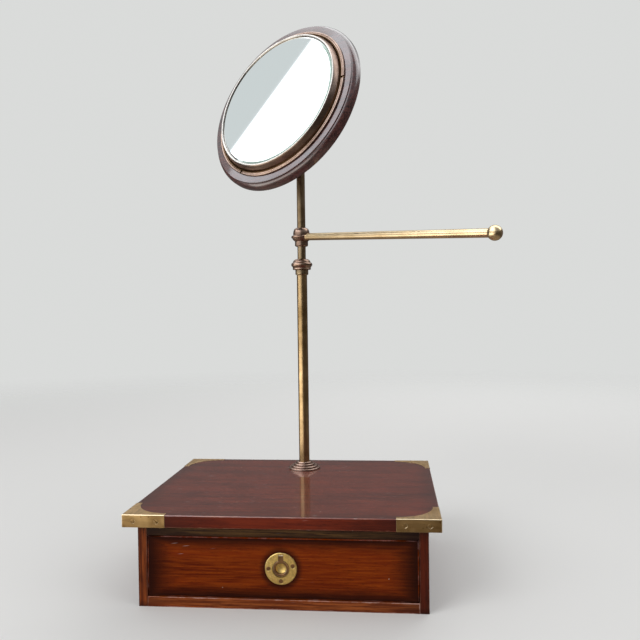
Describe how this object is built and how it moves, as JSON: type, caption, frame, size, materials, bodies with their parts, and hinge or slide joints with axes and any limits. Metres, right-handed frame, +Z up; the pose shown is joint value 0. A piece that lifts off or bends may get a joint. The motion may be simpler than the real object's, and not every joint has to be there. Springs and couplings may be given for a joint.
{
  "type": "campaign vanity mirror",
  "caption": "Round dressing mirror on a telescopic brass pole with a swinging ball-ended arm, standing on a brass-cornered mahogany box with a drawer.",
  "frame": {"origin": "middle of the underside of the box", "axes": "+Z up along the pole, +Y to the back, +X to the right as seen from the drawer side"},
  "size_m": [0.3632, 0.2577, 0.6293],
  "materials": {
    "mahogany": "polished reddish mahogany",
    "drawer_wood": "polished mahogany, lighter in the middle",
    "pale_wood": "plain unpolished softwood",
    "dark_wood": "dark polished mahogany",
    "corner_brass": "rubbed olive-brown brass with bright folded edges",
    "brass": "polished, lightly tarnished brass",
    "dark_brass": "dark tarnished brass",
    "mirror": "silvered glass",
    "felt": "thin green felt"
  },
  "bodies": {
    "root": {"top_board": "mahogany", "side_left": "mahogany", "side_right": "mahogany", "back_panel": "pale_wood", "bottom_board": "mahogany", "top_rail": "mahogany", "kickers": "pale_wood", "drawer_stops": "pale_wood", "corner_front_left": "corner_brass", "corner_front_right": "corner_brass", "corner_back_left": "corner_brass", "corner_back_right": "corner_brass", "corner_screws": "dark_brass", "pole_flange": "brass", "pole_stud": "dark_brass", "stud_washer": "brass", "stud_nut": "brass", "outer_tube": "brass", "tube_ferrule": "brass", "collet": "dark_brass"},
    "clamp_nut": {"clamp_nut": "dark_brass"},
    "drawer": {"drawer_front": "drawer_wood", "drawer_side_left": "pale_wood", "drawer_side_right": "pale_wood", "drawer_back": "pale_wood", "drawer_bottom": "pale_wood", "pull_plate": "brass", "pull_screws": "dark_brass", "pull_pin": "dark_brass"},
    "pull_ring": {"pull_ring": "dark_brass"},
    "lift": {"rod_guide": "dark_brass"},
    "mast": {"inner_rod": "brass", "guide_screw": "dark_brass", "rod_fork": "brass", "tilt_bolt": "dark_brass"},
    "tilt_knob": {"tilt_knob": "brass"},
    "head": {"back_bracket": "brass", "bracket_screws": "dark_brass", "back_board": "dark_wood", "frame_ring": "dark_wood", "packing_disc": "pale_wood", "felt_pad": "felt", "mirror_glass": "mirror", "drum": "brass", "drum_pins": "dark_brass", "glass_lip": "brass"},
    "arm_slide": {"arm_sleeve": "dark_brass"},
    "arm": {"arm_collar": "dark_brass", "arm_rod": "brass", "arm_ball": "brass"},
    "arm_screw": {"arm_thumbscrew": "dark_brass"}
  },
  "joints": [
    {"name": "drawer_slide", "type": "slide", "parent": "root", "child": "drawer", "axis": [0, -1, 0], "range_m": [0, 0.18]},
    {"name": "pull_ring_hinge", "type": "hinge", "parent": "drawer", "child": "pull_ring", "pos_m": [0, -0.115, 0.0522], "axis": [-1, 0, 0], "range_deg": [0, 95]},
    {"name": "mast_lift", "type": "slide", "parent": "root", "child": "lift", "axis": [0, 0, 1], "range_m": [-0.105, 0.05]},
    {"name": "mast_turn", "type": "hinge", "parent": "lift", "child": "mast", "pos_m": [0, 0.08, 0.4], "axis": [0, 0, 1], "continuous": true},
    {"name": "head_tilt", "type": "hinge", "parent": "mast", "child": "head", "pos_m": [0, 0.08, 0.518], "axis": [0.829, -0.5592, 0], "range_deg": [-60, 22]},
    {"name": "tilt_knob_turn", "type": "hinge", "parent": "mast", "child": "tilt_knob", "pos_m": [0, 0.08, 0.518], "axis": [0.829, -0.5592, 0], "continuous": true},
    {"name": "arm_height", "type": "slide", "parent": "root", "child": "arm_slide", "axis": [0, 0, 1], "range_m": [-0.0145, 0.02]},
    {"name": "arm_swing", "type": "hinge", "parent": "arm_slide", "child": "arm", "pos_m": [0, 0.08, 0.376], "axis": [0, 0, 1], "continuous": true},
    {"name": "arm_screw_turn", "type": "hinge", "parent": "arm", "child": "arm_screw", "pos_m": [0, 0.08, 0.3761], "axis": [0, 1, 0], "continuous": true},
    {"name": "clamp_nut_turn", "type": "hinge", "parent": "root", "child": "clamp_nut", "pos_m": [0, 0.08, 0.342], "axis": [0, 0, 1], "continuous": true}
  ]
}
